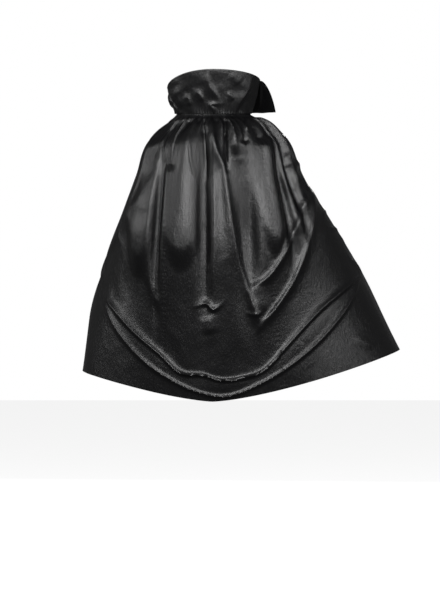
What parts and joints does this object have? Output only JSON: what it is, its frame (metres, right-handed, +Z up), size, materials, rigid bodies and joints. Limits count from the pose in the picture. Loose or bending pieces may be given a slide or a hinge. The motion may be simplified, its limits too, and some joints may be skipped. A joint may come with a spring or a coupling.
{
  "type": "costume cape",
  "caption": "Child-size satin cape with a gathered skirt, a stiffened stand-up collar with folding points and a throat tab.",
  "frame": {"origin": "centre of the neck opening at the level of the neck seam", "axes": "+Z up through the neck opening, +Y the way the wearer faces, +X the wearer's right"},
  "size_m": [0.7448, 0.269, 0.7606],
  "materials": {
    "cape_satin": "glossy black polyester satin",
    "collar_satin": "glossy black satin, stiffened",
    "collar_lining": "black satin",
    "stiffener_felt": "matt non-woven",
    "neckband_satin": "black satin, folded",
    "closure_nylon": "black nylon hook and loop",
    "label_cloth": "off-white woven tape, blank"
  },
  "bodies": {
    "back": {"centre_back_panel": "cape_satin", "collar_outer_left": "collar_satin", "collar_outer_right": "collar_satin", "collar_lining_left": "collar_lining", "collar_lining_right": "collar_lining", "collar_stiffener": "stiffener_felt", "neckband": "neckband_satin", "loop_strip": "closure_nylon"},
    "left_side": {"left_side_panel": "cape_satin"},
    "right_side": {"right_side_panel": "cape_satin"},
    "left_collar_point": {"collar_point_outer_left": "collar_satin", "collar_point_lining_left": "collar_lining", "collar_point_stiffener_left": "stiffener_felt"},
    "right_collar_point": {"collar_point_outer_right": "collar_satin", "collar_point_lining_right": "collar_lining", "collar_point_stiffener_right": "stiffener_felt"},
    "closure": {"closure_tab": "neckband_satin", "hook_strip": "closure_nylon"},
    "labels": {"care_label": "label_cloth", "size_label": "label_cloth"}
  },
  "joints": [
    {"name": "left_side_swing", "type": "hinge", "parent": "back", "child": "left_side", "pos_m": [-0.06, 0.05, 0], "axis": [0, 0, -1], "range_deg": [0, 30]},
    {"name": "right_side_swing", "type": "hinge", "parent": "back", "child": "right_side", "pos_m": [0.06, 0.05, 0], "axis": [0, 0, 1], "range_deg": [0, 30]},
    {"name": "left_point_fold", "type": "hinge", "parent": "back", "child": "left_collar_point", "pos_m": [-0.087, 0.064, 0.005], "axis": [-0.2354, -0.6938, 0.6806], "range_deg": [0, 95]},
    {"name": "right_point_fold", "type": "hinge", "parent": "back", "child": "right_collar_point", "pos_m": [0.087, 0.064, 0.005], "axis": [0.2221, -0.6239, 0.7493], "range_deg": [0, 95]},
    {"name": "closure_tab_peel", "type": "hinge", "parent": "back", "child": "closure", "pos_m": [0.0328, 0.062, 0.0055], "axis": [0, 0, -1], "range_deg": [0, 120]},
    {"name": "label_flip", "type": "hinge", "parent": "back", "child": "labels", "pos_m": [0, -0.058, -0.001], "axis": [1, 0, 0], "range_deg": [0, 150]}
  ]
}
